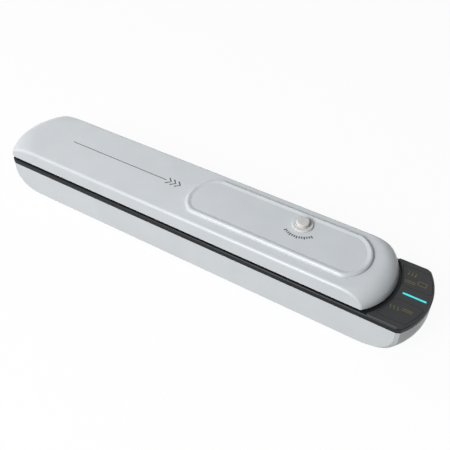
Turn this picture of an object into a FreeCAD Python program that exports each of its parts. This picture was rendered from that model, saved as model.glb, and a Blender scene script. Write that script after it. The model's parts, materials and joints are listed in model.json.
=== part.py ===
import FreeCAD, Part
import math
import os
import Sketcher

# Bar-shaped vacuum sealer. X runs along the body to the control panel, -Y is the open front,
# +Z is up, and the origin is on the table under the middle of the body.

doc = FreeCAD.newDocument("vacuum_sealer")

# Driving dimensions, in millimetres
DIMENSIONS = {
    # Housing
    "body_length": 360.0,
    "body_width": 61.5,
    "end_radius": 50.0,
    "foot_lift": 0.8,
    "housing_wall": 2.2,
    "curl_height": 17.5,
    "curl_start": 1.2,
    "corner_bevel": 1.75,
    "exhaust_from_end": 75.0,
    "exhaust_length": 26.0,
    "exhaust_lift": 6.2,
    "exhaust_pitch": 3.4,
    "exhaust_width": 1.6,
    "deck_top": 30.2,
    "deck_band": 4.0,
    # Deck and vacuum trough
    "deck_plate": 3.0,
    "deck_bevel": 0.6,
    "lip_drop": 3.0,
    "lip_width": 1.6,
    "lip_from_end": 65.0,
    "lip_clearance": 0.2,
    "trough_from_left": 40.0,
    "trough_from_nose": 26.0,
    "trough_front_margin": 4.5,
    "trough_back_margin": 3.5,
    "trough_depth": 6.5,
    "trough_wall": 1.8,
    "trough_round": 6.0,
    # Gaskets
    "gasket_from_left": 31.0,
    "gasket_past_nose": 23.0,
    "gasket_from_heater": 7.5,
    "gasket_from_back": 13.25,
    "gasket_bend": 12.0,
    "gasket_width": 3.6,
    "gasket_round": 0.8,
    "gasket_fit": 0.2,
    "gasket_seat": 1.5,
    "gasket_gap": 0.2,
    # Heater
    "heater_from_left": 30.0,
    "heater_past_nose": 19.0,
    "heater_from_front": 8.75,
    "channel_width": 9.0,
    "channel_depth": 2.0,
    "bar_fit": 0.2,
    "strip_width": 3.0,
    "strip_thickness": 0.4,
    "strip_inset": 1.5,
    "tape_width": 10.6,
    "tape_thickness": 0.2,
    "tape_overhang": 2.0,
    "tape_round": 2.0,
    "terminal_inset": 5.0,
    "terminal_radius": 1.1,
    "terminal_fit": 0.1,
    "terminal_drop": 6.0,
    "terminal_nut_radius": 2.6,
    "terminal_nut_height": 2.0,
    # Hinge
    "hinge_from_end": 85.0,
    "hinge_inset": 2.75,
    "hinge_lift": 0.7,
    "knuckle_radius": 2.5,
    "knuckle_clearance": 0.4,
    "knuckle_side_gap": 0.3,
    "lid_knuckle_width": 14.0,
    "deck_knuckle_width": 8.0,
    "knuckle_web_back": 0.5,
    "pin_radius": 1.2,
    "pin_fit": 0.02,
    "pin_running": 0.08,
    # Lid
    "lid_gap": 2.0,
    "lid_height": 11.8,
    "lid_setback": 0.75,
    "lid_wall": 2.0,
    "lid_round": 2.2,
    "lid_curl_start": 0.6,
    "tail_setback": 0.25,
    "tail_wall": 2.4,
    "lid_back_bevel": 2.0,
    "nose_radius": 43.5,
    "plateau_length": 97.2,
    "plateau_radius": 24.5,
    "plateau_margin": 8.85,
    "plateau_shift": 0.85,
    "plateau_corner": 7.0,
    "plateau_height": 2.2,
    "plateau_round": 2.1,
    "plateau_crest": 0.1,
    "plateau_rim": 4.6,
    "recess_depth": 0.6,
    # Release valve
    "valve_from_nose": 31.9,
    "valve_from_rim": 8.65,
    "valve_radius": 5.0,
    "valve_height": 4.2,
    "valve_taper": 4.0,
    "valve_round": 0.8,
    "valve_slide": 0.15,
    "valve_seal": 0.05,
    "valve_lip_radius": 6.2,
    "valve_lip_height": 1.1,
    "seat_flange_radius": 7.7,
    "seat_flange_height": 1.2,
    "seat_round": 0.5,
    "seat_radius": 6.4,
    "seat_fit": 0.1,
    # Lid liner
    "liner_recess": 0.3,
    "liner_thickness": 2.8,
    "liner_side_gap": 0.2,
    "liner_notch_gap": 0.4,
    "liner_corner": 3.0,
    "post_radius": 3.4,
    "liner_screw_from_left": 60.0,
    "liner_screw_past_nose": 9.0,
    "liner_screw_bite": 4.0,
    "vent_from_left": 80.0,
    "vent_from_trough": 25.0,
    "vent_pitch": 20.0,
    "vent_length": 12.0,
    "vent_width": 3.0,
    "vent_spacing": 12.0,
    "strip_pad_width": 6.0,
    "strip_pad_fit": 0.1,
    "strip_pad_seat": 1.5,
    "strip_pad_gap": 0.2,
    # Screws
    "screw_radius": 1.4,
    "screw_head_radius": 2.7,
    "screw_head_height": 1.9,
    "screw_fit": 0.05,
    "screw_way": 0.25,
    "screw_bite": 8.0,
    "boss_radius": 3.5,
    "boss_from_end": 42.0,
    "boss_from_side": 7.25,
    "boss_joint": 14.0,
    "boss_shoulder": 4.8,
    # Feet
    "foot_from_end": 68.0,
    "foot_from_side": 12.75,
    "foot_radius": 6.0,
    "foot_seat": 0.8,
    "foot_fit": 0.1,
    "foot_round": 0.4,
    # Control panel and buttons
    "panel_thickness": 1.05,
    "panel_width": 23.5,
    "panel_gap": 2.0,
    "panel_inset": 0.3,
    "panel_corner": 1.2,
    "panel_bevel": 0.35,
    "button_inner_margin": 1.5,
    "button_outer_margin": 1.9,
    "button_near": 7.0,
    "button_from_side": 5.35,
    "button_corner": 1.6,
    "button_gap": 0.25,
    "button_flange": 0.6,
    "button_flange_height": 1.6,
    "button_seat": 0.05,
    "button_travel": 0.6,
    "button_stem_radius": 2.0,
    "window_clearance": 0.3,
    "light_from_end": 19.8,
    "light_length": 16.6,
    "light_width": 1.5,
    "light_fit": 0.05,
    "light_flange": 0.7,
    "light_flange_height": 1.0,
    "light_drop": 4.2,
    # Control board
    "board_thickness": 1.6,
    "control_board_drop": 8.2,
    "control_board_from_side": 9.75,
    "control_board_corner": 2.0,
    "control_board_gap": 1.0,
    "panel_post_radius": 1.4,
    "panel_post_way": 0.3,
    "panel_post_inner": 18.5,
    "panel_post_outer": 8.0,
    "panel_post_y": 3.9,
    "board_screw_radius": 0.7,
    "board_screw_head": 1.6,
    "board_screw_head_height": 1.1,
    "board_screw_bite": 4.0,
    "switch_from_end": 15.5,
    "switch_from_near": 8.5,
    "switch_side": 6.0,
    "switch_height": 3.4,
    "switch_cap_radius": 1.6,
    "switch_spare": 0.3,
    "led_from_end": 16.5,
    "led_pitch": 5.5,
    "led_length": 2.8,
    "led_width": 2.0,
    "led_height": 1.2,
    # Pump
    "pump_lift": 11.2,
    "motor_from_end": 84.0,
    "motor_length": 26.0,
    "motor_radius": 10.0,
    "motor_round": 1.0,
    "motor_boss_radius": 3.4,
    "motor_boss_length": 1.6,
    "shaft_radius": 1.0,
    "shaft_running": 0.06,
    "shaft_depth": 12.0,
    "shaft_reach": 12.5,
    "eccentric_radius": 3.1,
    "eccentric_throw": 1.0,
    "eccentric_start": 4.0,
    "eccentric_length": 7.0,
    "eccentric_fit": 0.025,
    "pump_length": 20.0,
    "pump_half_width": 11.0,
    "pump_floor": 2.5,
    "pump_wall": 2.2,
    "pump_rise": 6.0,
    "shaft_window": 1.4,
    "diaphragm_thickness": 1.2,
    "diaphragm_stub_radius": 3.0,
    "diaphragm_stub": 1.2,
    "cover_gap": 0.4,
    "cover_round": 1.2,
    "bracket_start": 2.5,
    "bracket_length": 18.0,
    "bracket_half_width": 13.0,
    "bracket_height": 10.0,
    "bracket_clearance": 0.15,
    "hose_inset": 3.0,
    "hose_rise": 1.1,
    "hose_radius": 2.2,
    "hose_wall": 0.9,
    "nipple_length": 5.0,
    "nipple_fit": 0.05,
    "nipple_bore": 0.7,
    # Power board and its parts
    "board_from_left": 50.0,
    "board_length": 85.0,
    "board_from_front": 10.75,
    "board_from_back": 18.75,
    "board_rise": 3.0,
    "board_post_radius": 2.6,
    "board_post_inset": 4.0,
    "transformer_from_board": 23.0,
    "transformer_length": 24.0,
    "transformer_width": 19.0,
    "transformer_height": 12.6,
    "transformer_window": 5.0,
    "coil_overhang": 2.5,
    "capacitor_from_board": 46.0,
    "capacitor_pitch": 11.0,
    "capacitor_from_front": 8.0,
    "capacitor_radius": 4.0,
    "capacitor_height": 11.5,
    "capacitor_round": 0.6,
    "relay_from_board": 68.0,
    "relay_from_capacitor": 14.0,
    "relay_length": 19.0,
    "relay_width": 10.0,
    "relay_height": 11.0,
    "relay_round": 0.6,
    # Mains inlet
    "inlet_from_left": 120.0,
    "inlet_lift": 10.6,
    "inlet_width": 20.0,
    "inlet_height": 12.0,
    "inlet_depth": 13.0,
    "inlet_round": 2.0,
    "inlet_fit": 0.15,
    "inlet_flange": 1.6,
    "inlet_flange_thickness": 1.8,
    "socket_depth": 9.5,
    "socket_radius": 4.1,
    "pin_pitch": 8.6,
    "inlet_pin_radius": 1.2,
    "inlet_pin_length": 8.0,
    "inlet_pin_tail": 3.0,
    "inlet_pin_round": 0.6,
    "inlet_pin_fit": 0.03,
}

sheet = doc.addObject("Spreadsheet::Sheet", "dims")
for row, (alias, number) in enumerate(DIMENSIONS.items(), start=1):
    sheet.set(f"A{row}", alias)
    sheet.set(f"B{row}", str(number))
    sheet.setAlias(f"B{row}", alias)
doc.recompute()


class Size:
    """A length in millimetres, kept with the spreadsheet expression that gives it."""

    def __init__(self, value, text):
        self.value = value
        self.text = text

    def __float__(self):
        return self.value

    def __neg__(self):
        return Size(-self.value, f"(0 - {self.text})")

    def __add__(self, other):
        other = as_size(other)
        return Size(self.value + other.value, f"({self.text} + {other.text})")

    def __sub__(self, other):
        other = as_size(other)
        return Size(self.value - other.value, f"({self.text} - {other.text})")

    def __mul__(self, factor):
        return Size(self.value * factor, f"({self.text} * {factor})")

    def __truediv__(self, divisor):
        return Size(self.value / divisor, f"({self.text} / {divisor})")


def as_size(number):
    if isinstance(number, Size):
        return number
    return Size(float(number), f"({float(number)})")


class Dimensions:
    """Each spreadsheet alias as a Size."""

    def __init__(self):
        for name in DIMENSIONS:
            setattr(self, name, Size(float(sheet.get(name)), f"dims.{name}"))


D = Dimensions()
ZERO = as_size(0.0)

# Ends, lines and levels that several pieces share
half_width = D.body_width / 2
right_end = D.body_length / 2
left_end = -right_end
end_centre = right_end - D.end_radius
floor_top = D.foot_lift + D.housing_wall
inner_half = half_width - D.housing_wall
parting_height = D.deck_top - D.deck_band
deck_under = D.deck_top - D.deck_plate
lip_half = right_end - D.lip_from_end
nose_tip = right_end - D.panel_width - D.panel_gap
nose_centre = nose_tip - D.nose_radius
lid_bottom = D.deck_top + D.lid_gap
lid_top = lid_bottom + D.lid_height
lid_half = half_width - D.lid_setback
lid_inner_half = lid_half - D.lid_wall
plateau_start = nose_centre - D.plateau_length
plateau_half = half_width - D.plateau_margin
plateau_top = lid_top + D.plateau_height
recess_top = plateau_top - D.recess_depth
skin_under = recess_top - D.lid_wall
valve_x = nose_centre - D.valve_from_nose
valve_y = D.plateau_shift + plateau_half - D.plateau_rim - D.valve_from_rim
liner_bottom = lid_bottom + D.liner_recess
liner_top = liner_bottom + D.liner_thickness
seal_plane = (D.deck_top + liner_bottom) / 2
tape_top = D.deck_top + D.tape_thickness
heater_left = left_end + D.heater_from_left
heater_right = nose_centre + D.heater_past_nose
heater_y = D.heater_from_front - half_width
gasket_left = left_end + D.gasket_from_left
gasket_right = nose_centre + D.gasket_past_nose
gasket_front = heater_y + D.gasket_from_heater
gasket_back = half_width - D.gasket_from_back
trough_left = left_end + D.trough_from_left
trough_right = nose_centre - D.trough_from_nose
trough_front = gasket_front + D.trough_front_margin
trough_back = gasket_back - D.trough_back_margin
trough_floor = D.deck_top - D.trough_depth
trough_under = trough_floor - D.trough_wall
trough_middle = (trough_front + trough_back) / 2
hinge_x = right_end - D.hinge_from_end
hinge_y = half_width - D.hinge_inset
hinge_z = D.deck_top + D.hinge_lift
panel_top = D.deck_top + D.panel_thickness
panel_inner = D.nose_radius + D.panel_gap
button_far = half_width - D.button_from_side
switch_x = right_end - D.switch_from_end
switch_y = D.button_near + D.switch_from_near
light_start = right_end - D.light_from_end
led_first = right_end - D.led_from_end
control_board_half = half_width - D.control_board_from_side
control_board_top = D.deck_top - D.control_board_drop
control_board_under = control_board_top - D.board_thickness
pump_z = floor_top + D.pump_lift
motor_start = right_end - D.motor_from_end
motor_end = motor_start + D.motor_length
pump_end = motor_end + D.pump_length
pump_under = pump_z - D.motor_radius
diaphragm_under = pump_z + D.pump_rise
diaphragm_top = diaphragm_under + D.diaphragm_thickness
cover_top = deck_under - D.cover_gap
cover_height = cover_top - diaphragm_top
hose_y = D.pump_half_width - D.hose_inset
hose_z = trough_floor + D.hose_rise
nipple_radius = D.hose_radius - D.hose_wall - D.nipple_fit
board_left = left_end + D.board_from_left
board_right = board_left + D.board_length
board_front = D.board_from_front - half_width
board_back = half_width - D.board_from_back
board_middle = (board_front + board_back) / 2
board_under = floor_top + D.board_rise
board_top = board_under + D.board_thickness
transformer_x = board_left + D.transformer_from_board
capacitor_first = board_left + D.capacitor_from_board
capacitor_y = board_front + D.capacitor_from_front
relay_x = board_left + D.relay_from_board
relay_y = capacitor_y + D.relay_from_capacitor
inlet_x = left_end + D.inlet_from_left
inlet_z = floor_top + D.inlet_lift

# Counts, directions and the nearness of levels that are taken as one
LINER_SCREW_COUNT = 4
LAMP_COUNT = 3
CAPACITOR_COUNT = 2
EXHAUST_COUNT = 4
TOLERANCE = 1e-3
SIDES = (-1, 1)
PLANES = {"x": "YZ_Plane", "y": "XZ_Plane", "z": "XY_Plane"}
sub_parts = []
cuts = []


def new_body(label, exported=True):
    body = doc.addObject("PartDesign::Body", label)
    body.Label = label
    body.AllowCompound = True
    if exported:
        sub_parts.append(body)
    return body


def bind(target, path, size):
    target.setExpression(path, as_size(size).text)


def point(x, y):
    return FreeCAD.Vector(float(x), float(y), 0.0)


def new_sketch(body, name, role, level):
    sketch = body.newObject("Sketcher::SketchObject", name)
    plane = next(item for item in body.Origin.OriginFeatures if item.Role == role)
    sketch.AttachmentSupport = [(plane, "")]
    sketch.MapMode = "FlatFace"
    bind(sketch, "AttachmentOffset.Base.z", level)
    return sketch


def hold(sketch, kind, geometry, corner, size):
    """Pin one coordinate of a sketch point to a spreadsheet size."""
    index = sketch.addConstraint(Sketcher.Constraint(kind, -1, 1, geometry, corner, float(size)))
    bind(sketch, f"Constraints[{index}]", size)


def rectangle(x_low, x_high, y_low, y_high):
    low = point(x_low, y_low)
    high = point(x_high, y_high)
    right = FreeCAD.Vector(high.x, low.y, 0)
    left = FreeCAD.Vector(low.x, high.y, 0)

    def draw(sketch):
        first = sketch.GeometryCount
        corners = (low, right, high, left)
        for start, end in zip(corners, corners[1:] + corners[:1]):
            sketch.addGeometry(Part.LineSegment(start, end))
        for side in range(4):
            after = first + (side + 1) % 4
            sketch.addConstraint(Sketcher.Constraint("Coincident", first + side, 2, after, 1))
            direction = "Vertical" if side % 2 else "Horizontal"
            sketch.addConstraint(Sketcher.Constraint(direction, first + side))
        hold(sketch, "DistanceX", first, 1, as_size(x_low))
        hold(sketch, "DistanceY", first, 1, as_size(y_low))
        hold(sketch, "DistanceX", first + 2, 1, as_size(x_high))
        hold(sketch, "DistanceY", first + 2, 1, as_size(y_high))

    return draw


def circle(x, y, radius):
    def draw(sketch):
        index = sketch.addGeometry(Part.Circle(point(x, y), FreeCAD.Vector(0, 0, 1), float(radius)))
        hold(sketch, "DistanceX", index, 3, as_size(x))
        hold(sketch, "DistanceY", index, 3, as_size(y))
        ring = sketch.addConstraint(Sketcher.Constraint("Radius", index, float(radius)))
        bind(sketch, f"Constraints[{ring}]", radius)

    return draw


def outline(edges):
    def draw(sketch):
        for edge in edges:
            sketch.addGeometry(edge)

    return draw


def rounded(x_low, x_high, y_low, y_high, radius):
    """A rectangle with round corners."""
    r = float(radius)
    centres = [
        (float(x_high) - r, float(y_low) + r),
        (float(x_high) - r, float(y_high) - r),
        (float(x_low) + r, float(y_high) - r),
        (float(x_low) + r, float(y_low) + r),
    ]
    arcs = []
    for quarter, (x, y) in enumerate(centres):
        spots = [(quarter - 1 + turn) * math.pi / 2 for turn in (0, 0.5, 1)]
        arcs.append(Part.Arc(*[point(x + r * math.cos(a), y + r * math.sin(a)) for a in spots]))
    edges = []
    for arc, following in zip(arcs, arcs[1:] + arcs[:1]):
        edges.append(arc)
        edges.append(Part.LineSegment(arc.EndPoint, following.StartPoint))
    return outline(edges)


def slot(x_low, x_high, y, width):
    """A lengthways slot with fully round ends."""
    r = float(width) / 2
    left = float(x_low) + r
    right = float(x_high) - r
    low = float(y) - r
    high = float(y) + r
    return outline([
        Part.LineSegment(point(left, low), point(right, low)),
        Part.Arc(point(right, low), point(right + r, y), point(right, high)),
        Part.LineSegment(point(right, high), point(left, high)),
        Part.Arc(point(left, high), point(left - r, y), point(left, low)),
    ])


class RoundEnd:
    """An arc that closes a band at one end, with round or bevelled corners where it meets the sides.

    side is +1 where the arc lies right of its centre.
    """

    def __init__(self, centre, radius, side, blend=0.0, bevel=0.0, hollow=False):
        self.centre = float(centre)
        self.radius = float(radius)
        self.side = side
        self.blend = float(blend)
        self.bevel = float(bevel)
        self.hollow = hollow

    def x_at(self, y):
        return self.centre + self.side * math.sqrt(self.radius ** 2 - y ** 2)

    def blended(self, y, inward):
        """The arc that blends the line at y into this end: three points from line to end."""
        reach = self.radius + self.blend if self.hollow else self.radius - self.blend
        y_mid = y + inward * self.blend
        x_mid = self.centre + self.side * math.sqrt(reach ** 2 - y_mid ** 2)
        on_line = FreeCAD.Vector(x_mid, y, 0)
        share = self.radius / reach
        on_end = FreeCAD.Vector(self.centre + (x_mid - self.centre) * share, y_mid * share, 0)
        middle = FreeCAD.Vector(x_mid, y_mid, 0)
        bisector = (on_line - middle) + (on_end - middle)
        return [on_line, middle + bisector.normalize() * self.blend, on_end]

    def corner(self, y, inward):
        """Points that lead from the line at y to this end: one if sharp, two if bevelled."""
        if self.blend > 0:
            return self.blended(y, inward)
        sharp = FreeCAD.Vector(self.x_at(y), y, 0)
        if self.bevel <= 0:
            return [sharp]
        turn = math.asin(y / self.radius) + inward * self.bevel / self.radius
        on_end = point(self.centre + self.side * self.radius * math.cos(turn), self.radius * math.sin(turn))
        return [sharp - FreeCAD.Vector(self.side * self.bevel, 0, 0), on_end]


def corner_edges(points):
    if len(points) == 3:
        return [Part.Arc(*points)]
    return [Part.LineSegment(*points)] if len(points) == 2 else []


def band(y_low, y_high, left, right):
    """Edges of a band between two lines and two round ends."""
    low = float(y_low)
    high = float(y_high)

    def end_arc(end, start, stop):
        y = (start.y + stop.y) / 2
        return Part.Arc(start, FreeCAD.Vector(end.x_at(y), y, 0), stop)

    right_low = right.corner(low, 1)
    right_high = right.corner(high, -1)[::-1]
    left_high = left.corner(high, -1)
    left_low = left.corner(low, 1)[::-1]
    edges = [Part.LineSegment(left_low[-1], right_low[0])]
    edges += corner_edges(right_low)
    edges.append(end_arc(right, right_low[-1], right_high[0]))
    edges += corner_edges(right_high)
    edges.append(Part.LineSegment(right_high[-1], left_high[0]))
    edges += corner_edges(left_high)
    edges.append(end_arc(left, left_high[-1], left_low[0]))
    edges += corner_edges(left_low)
    return outline(edges)


def extrude(body, name, axis, low, high, profiles, cut=False):
    """Pad, or pocket, closed profiles between two levels of one axis."""
    low = as_size(low)
    high = as_size(high)
    if axis == "y":
        # A sketch on the XZ plane faces -Y
        low, high = -high, -low
    sketch = new_sketch(body, name + "_sketch", PLANES[axis], high if cut else low)
    for profile in profiles:
        profile(sketch)
    feature = body.newObject("PartDesign::Pocket" if cut else "PartDesign::Pad", name)
    feature.Profile = sketch
    bind(feature, "Length", high - low)
    return feature


def removed(body, name, axis, low, high, profiles):
    """Cut profiles out of a body, to be checked at the end for having cut something."""
    feature = extrude(body, name, axis, low, high, profiles, cut=True)
    cuts.append((body, feature))
    return feature


def dress(body, kind, name, size_name, size, wanted):
    """Fillet or chamfer the edges of the body's last shape that a test picks out."""
    doc.recompute()
    base = body.Tip
    names = [f"Edge{number}" for number, edge in enumerate(base.Shape.Edges, 1) if wanted(edge)]
    feature = body.newObject(f"PartDesign::{kind}", name)
    feature.Base = (base, names)
    bind(feature, size_name, size)
    doc.recompute()
    return feature


def fillet(body, name, radius, wanted):
    return dress(body, "Fillet", name, "Radius", radius, wanted)


def chamfer(body, name, size, wanted):
    return dress(body, "Chamfer", name, "Size", size, wanted)


def at_level(level, axis="z"):
    """A test for edges that lie flat at one level of an axis."""
    def test(edge):
        box = edge.BoundBox
        low = getattr(box, axis.upper() + "Min")
        high = getattr(box, axis.upper() + "Max")
        return abs(low - float(level)) < TOLERANCE and abs(high - float(level)) < TOLERANCE

    return test


def quarter_ellipse(centre, on_x, on_z):
    """The quarter of an ellipse from a point level with its centre to one above or below it."""
    if (on_x - centre).Length >= (on_z - centre).Length:
        ellipse = Part.Ellipse(on_x, on_z, centre)
    else:
        ellipse = Part.Ellipse(on_z, on_x, centre)
    start = ellipse.parameter(on_x)
    end = ellipse.parameter(on_z)
    full = 2 * math.pi
    if (end - start) % full > math.pi:
        start, end = end, start
    return Part.ArcOfEllipse(ellipse, start, start + (end - start) % full)


def boat_form(body, half, rim, flat, curl_start, tail, nose):
    """A long form with straight sides, whose round ends curl over from the flat side to the rim.

    tail and nose each give the end's centre, its radius and the level where its curl becomes upright.
    """
    low, high = (rim, flat) if float(flat) > float(rim) else (flat, rim)
    extrude(body, "middle", "z", low, high, [rectangle(tail[0], nose[0], -half, half)])
    for side, (centre, radius, curl) in ((-1, tail), (1, nose)):
        inner = point(centre + (half + curl_start) * side, flat)
        outer = point(centre + radius * side, curl)
        shoulder = point(centre + radius * side, rim)
        edges = [Part.LineSegment(point(centre, flat), point(centre, rim))]
        edges.append(Part.LineSegment(point(centre, rim), shoulder))
        if abs(float(curl) - float(rim)) > TOLERANCE:
            edges.append(Part.LineSegment(shoulder, outer))
        edges.append(quarter_ellipse(FreeCAD.Vector(inner.x, outer.y, 0), outer, inner))
        edges.append(Part.LineSegment(inner, point(centre, flat)))
        sketch = new_sketch(body, "end_sketch", "XZ_Plane", ZERO)
        outline(edges)(sketch)
        turned = body.newObject("PartDesign::Revolution", "end")
        turned.Profile = sketch
        turned.ReferenceAxis = (sketch, ["Edge1"])
        turned.Angle = 180
        turned.Midplane = True
    doc.recompute()
    wide = D.body_length
    sides = [rectangle(-wide, wide, half, wide), rectangle(-wide, wide, -wide, -half)]
    removed(body, "sides", "z", low, high, sides)


def side_edges(half, rim):
    """The long edges of a boat form away from its rim, which run on round both ends."""
    def test(edge):
        box = edge.BoundBox
        on_side = box.YLength < TOLERANCE and abs(abs(box.Center.y) - float(half)) < TOLERANCE
        return on_side and not at_level(rim)(edge)

    return test


def hollow(body, cavity):
    """Cut a cavity's form out of a body."""
    cut = body.newObject("PartDesign::Boolean", "hollow")
    cut.setObjects([cavity])
    cut.Type = 1
    doc.recompute()


def hull_end(shrink, side):
    """One end of the housing's plan with its bevelled corners, drawn in by a distance."""
    return RoundEnd(end_centre * side, D.end_radius - shrink, side, bevel=D.corner_bevel)


def hull_plan(half, shrink):
    """The plan of the housing, drawn in by a distance all round."""
    return band(-half, half, hull_end(shrink, -1), hull_end(shrink, 1))


boss_x = right_end - D.boss_from_end
boss_y = half_width - D.boss_from_side
foot_x = right_end - D.foot_from_end
foot_y = half_width - D.foot_from_side
boss_spots = [(x, boss_y * side) for x in (-boss_x, ZERO, boss_x) for side in SIDES]
foot_spots = [(foot_x * across, foot_y * side) for across in SIDES for side in SIDES]
board_spots = [
    (x, y)
    for x in (board_left + D.board_post_inset, board_right - D.board_post_inset)
    for y in (board_front + D.board_post_inset, board_back - D.board_post_inset)
]
panel_posts = [(right_end - inset, D.panel_post_y * side)
               for inset in (D.panel_post_inner, D.panel_post_outer) for side in SIDES]
liner_screw_first = left_end + D.liner_screw_from_left
liner_screw_last = nose_centre + D.liner_screw_past_nose
liner_screw_pitch = (liner_screw_last - liner_screw_first) / (LINER_SCREW_COUNT - 1)
liner_screws_x = [liner_screw_first + liner_screw_pitch * step for step in range(LINER_SCREW_COUNT)]


def circles(spots, radius):
    return [circle(x, y, radius) for x, y in spots]


# Lower housing: a tub with curled-up ends, screw bosses, board posts and foot recesses
tub = new_body("lower_housing")
curl_top = D.foot_lift + D.curl_height
boat_form(tub, half_width, parting_height, D.foot_lift, D.curl_start,
          (-end_centre, D.end_radius, curl_top), (end_centre, D.end_radius, curl_top))
chamfer(tub, "corner_bevels", D.corner_bevel, side_edges(half_width, parting_height))
tub_cavity = new_body("tub_cavity", exported=False)
inner_radius = D.end_radius - D.housing_wall
boat_form(tub_cavity, inner_half, parting_height, floor_top, D.curl_start,
          (-end_centre, inner_radius, curl_top), (end_centre, inner_radius, curl_top))
hollow(tub, tub_cavity)
extrude(tub, "screw_bosses", "z", D.foot_lift + D.housing_wall / 2, D.boss_joint,
        circles(boss_spots, D.boss_radius))
extrude(tub, "board_posts", "z", D.foot_lift + D.housing_wall / 2, board_under,
        circles(board_spots, D.board_post_radius))
removed(tub, "screw_ways", "z", D.foot_lift, D.boss_joint,
        circles(boss_spots, D.screw_radius + D.screw_way))
removed(tub, "head_wells", "z", D.foot_lift, D.boss_shoulder,
        circles(boss_spots, D.screw_head_radius + D.screw_way))
removed(tub, "foot_recesses", "z", D.foot_lift, D.foot_lift + D.foot_seat,
        circles(foot_spots, D.foot_radius + D.foot_fit))
board_screw_hole = circles(board_spots, D.board_screw_radius + D.screw_fit)
removed(tub, "board_screw_holes", "z", board_under - D.board_screw_bite, board_under, board_screw_hole)
inlet_low = inlet_x - D.inlet_width / 2
inlet_high = inlet_x + D.inlet_width / 2
inlet_bottom = inlet_z - D.inlet_height / 2
inlet_top = inlet_z + D.inlet_height / 2
removed(tub, "inlet_window", "y", inner_half - D.housing_wall, half_width, [rounded(
    inlet_low - D.inlet_fit, inlet_high + D.inlet_fit,
    inlet_bottom - D.inlet_fit, inlet_top + D.inlet_fit, D.inlet_round + D.inlet_fit)])
exhaust_left = right_end - D.exhaust_from_end
removed(tub, "exhaust_slots", "y", inner_half - D.housing_wall, half_width, [
    slot(exhaust_left, exhaust_left + D.exhaust_length,
         floor_top + D.exhaust_lift + D.exhaust_pitch * step, D.exhaust_width)
    for step in range(EXHAUST_COUNT)])

# Rubber feet
feet = new_body("rubber_feet")
extrude(feet, "discs", "z", ZERO, D.foot_lift + D.foot_seat, circles(foot_spots, D.foot_radius))
fillet(feet, "foot_edge", D.foot_round, at_level(ZERO))

# Deck: the dark upper plate with the vacuum trough, seal grooves, heater channel and hinge knuckles
deck = new_body("deck")
extrude(deck, "plate", "z", parting_height, D.deck_top, [hull_plan(half_width, ZERO)])
removed(deck, "underside", "z", parting_height, deck_under, [hull_plan(inner_half, D.housing_wall)])
lip_out = inner_half - D.lip_clearance
lips = [
    rectangle(-lip_half, lip_half, -lip_out, D.lip_width - lip_out),
    rectangle(-lip_half, lip_half, lip_out - D.lip_width, lip_out),
]
extrude(deck, "lips", "z", deck_under - D.lip_drop, deck_under, lips)
extrude(deck, "trough_walls", "z", trough_under, deck_under, [rounded(
    trough_left - D.trough_wall, trough_right + D.trough_wall,
    trough_front - D.trough_wall, trough_back + D.trough_wall, D.trough_round + D.trough_wall)])
removed(deck, "trough", "z", trough_floor, D.deck_top, [rounded(
    trough_left, trough_right, trough_front, trough_back, D.trough_round)])


def gasket_loop(grow):
    """The gasket's ring, with each side moved out by grow."""
    profiles = []
    for side in SIDES:
        out = (D.gasket_width / 2 + grow) * side
        profiles.append(rounded(gasket_left - out, gasket_right + out,
                                gasket_front - out, gasket_back + out, D.gasket_bend + out))
    return profiles


removed(deck, "gasket_groove", "z", D.deck_top - D.gasket_seat, D.deck_top, gasket_loop(D.gasket_fit))
channel_low = heater_y - D.channel_width / 2
channel_high = heater_y + D.channel_width / 2
removed(deck, "heater_channel", "z", D.deck_top - D.channel_depth, D.deck_top, [rectangle(
    heater_left - D.bar_fit, heater_right + D.bar_fit, channel_low, channel_high)])
terminal_spots = [
    (heater_left + D.terminal_inset, heater_y),
    (heater_right - D.terminal_inset, heater_y),
]
removed(deck, "terminal_holes", "z", deck_under, D.deck_top,
        circles(terminal_spots, D.terminal_radius + D.terminal_fit))
extrude(deck, "deck_bosses", "z", D.boss_joint, deck_under, circles(boss_spots, D.boss_radius))
removed(deck, "boss_pilots", "z", D.boss_joint, D.boss_joint + D.screw_bite,
        circles(boss_spots, D.screw_radius + D.screw_fit))
# Suction nipple on the end wall of the trough
trough_end = trough_right + D.trough_wall
extrude(deck, "suction_nipple", "x", trough_right + D.trough_wall / 2, trough_end + D.nipple_length,
        [circle(hose_y, hose_z, nipple_radius)])
removed(deck, "suction_bore", "x", trough_right - D.trough_wall, trough_end + D.nipple_length,
        [circle(hose_y, hose_z, D.nipple_bore)])


def on_deck_rim(edge):
    """A test for the edges round the outside of the deck's top."""
    box = edge.BoundBox
    at_side = max(-box.YMin, box.YMax) > float(half_width) - TOLERANCE
    at_end = max(-box.XMin, box.XMax) > float(D.body_length) / 2 - TOLERANCE
    return at_level(D.deck_top)(edge) and (at_side or at_end)


chamfer(deck, "top_bevel", D.deck_bevel, on_deck_rim)


def knuckle_spans(inside, outside):
    """Lengthways spans of hinge knuckles on both sides of both hinge centres."""
    spans = []
    for across in SIDES:
        for side in SIDES:
            ends = [hinge_x * across + reach * side for reach in (inside, outside)]
            spans.append(sorted(ends, key=float))
    return spans


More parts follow.
